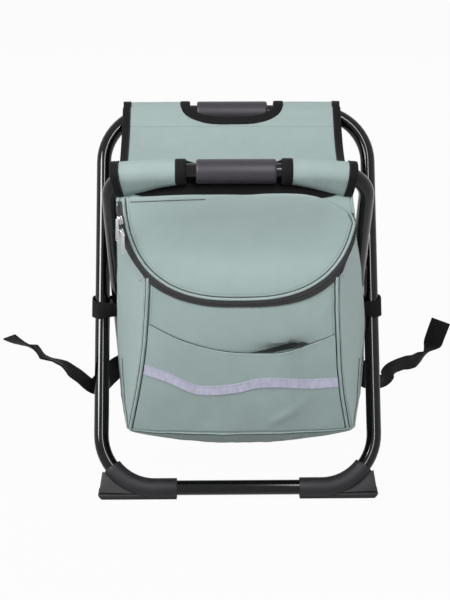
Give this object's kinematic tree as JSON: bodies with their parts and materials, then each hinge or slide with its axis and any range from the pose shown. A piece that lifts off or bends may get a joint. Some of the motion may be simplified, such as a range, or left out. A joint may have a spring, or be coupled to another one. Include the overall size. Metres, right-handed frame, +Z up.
{
  "type": "folding cooler stool",
  "caption": "Folding stool with crossed tube frames, a slack fabric sling seat, foam grips and a zipped cooler bag with a front pocket and shoulder straps between the legs.",
  "frame": {"origin": "On the floor, under the middle of the part's box.", "axes": "+X to the right seen from the front, +Y to the rear, away from the bag, +Z up."},
  "size_m": [0.5507, 0.3144, 0.4271],
  "materials": {
    "frame_paint": "glossy black powder coat on steel tube",
    "bright_steel": "bright zinc-plated steel",
    "grip_foam": "soft purple-grey foam",
    "foot_plastic": "matte dark grey moulded plastic",
    "black_nylon": "black moulded nylon",
    "mint_fabric": "plain woven polyester in sage mint",
    "cooler_foil": "silvery lining film on foam",
    "zip_tape": "black zip tape and coil",
    "lilac_tape": "smooth lilac ribbon",
    "black_webbing": "black woven webbing"
  },
  "bodies": {
    "outer_frame": {"outer_frame_tube": "frame_paint", "outer_tube_spigot": "bright_steel", "rear_grip": "grip_foam", "front_left_foot": "foot_plastic", "front_right_foot": "foot_plastic", "left_pivot_rivet": "bright_steel", "right_pivot_rivet": "bright_steel", "rear_left_seat_sleeve": "mint_fabric", "rear_right_seat_sleeve": "mint_fabric", "seat_panel": "mint_fabric"},
    "inner_frame": {"inner_frame_tube": "frame_paint", "inner_tube_spigot": "bright_steel", "front_grip": "grip_foam", "rear_left_foot": "foot_plastic", "rear_right_foot": "foot_plastic", "left_pivot_spacer": "black_nylon", "right_pivot_spacer": "black_nylon", "front_left_seat_sleeve": "mint_fabric", "front_right_seat_sleeve": "mint_fabric", "bag_body": "mint_fabric", "cooler_liner": "cooler_foil", "front_pocket": "mint_fabric", "pocket_stripe": "lilac_tape", "body_zip_tape": "zip_tape", "left_frame_loop": "black_webbing", "right_frame_loop": "black_webbing", "left_shoulder_strap": "black_webbing", "right_shoulder_strap": "black_webbing", "left_strap_buckle": "black_nylon", "right_strap_buckle": "black_nylon", "left_anchor_webbing": "black_webbing", "right_anchor_webbing": "black_webbing", "left_strap_tail": "black_webbing", "right_strap_tail": "black_webbing"},
    "lid": {"lid_panel": "mint_fabric", "lid_insulation": "cooler_foil", "lid_zip_tape": "zip_tape"},
    "upper_slider": {"upper_zip_slider": "bright_steel"},
    "lower_slider": {"lower_zip_slider": "bright_steel"},
    "upper_pull": {"upper_zip_pull": "bright_steel"},
    "lower_pull": {"lower_zip_pull": "bright_steel"}
  },
  "joints": [
    {"name": "fold", "type": "hinge", "parent": "outer_frame", "child": "inner_frame", "pos_m": [0, 0.011, 0.20281], "axis": [-1, 0, 0], "range_deg": [0, 55], "deforming": ["seat_panel", "left_strap_tail", "right_strap_tail"]},
    {"name": "lid_swing", "type": "hinge", "parent": "inner_frame", "child": "lid", "pos_m": [0, -0.14312, 0.38743], "axis": [-1, 0, 0], "range_deg": [0, 110]},
    {"name": "upper_slide", "type": "hinge", "parent": "inner_frame", "child": "upper_slider", "pos_m": [0, -0.12942, 0.39813], "axis": [0, -0.9882, 0.153], "range_deg": [-4, 0]},
    {"name": "lower_slide", "type": "hinge", "parent": "inner_frame", "child": "lower_slider", "pos_m": [0, -0.12942, 0.39813], "axis": [0, -0.9882, 0.153], "range_deg": [0, 148]},
    {"name": "upper_pull_swing", "type": "hinge", "parent": "upper_slider", "child": "upper_pull", "pos_m": [-0.13665, -0.141, 0.37237], "axis": [-0.9763, -0.0331, -0.2139], "range_deg": [0, 120]},
    {"name": "lower_pull_swing", "type": "hinge", "parent": "lower_slider", "child": "lower_pull", "pos_m": [-0.12798, -0.14328, 0.35763], "axis": [-0.9426, -0.0511, -0.3299], "range_deg": [0, 120]}
  ]
}
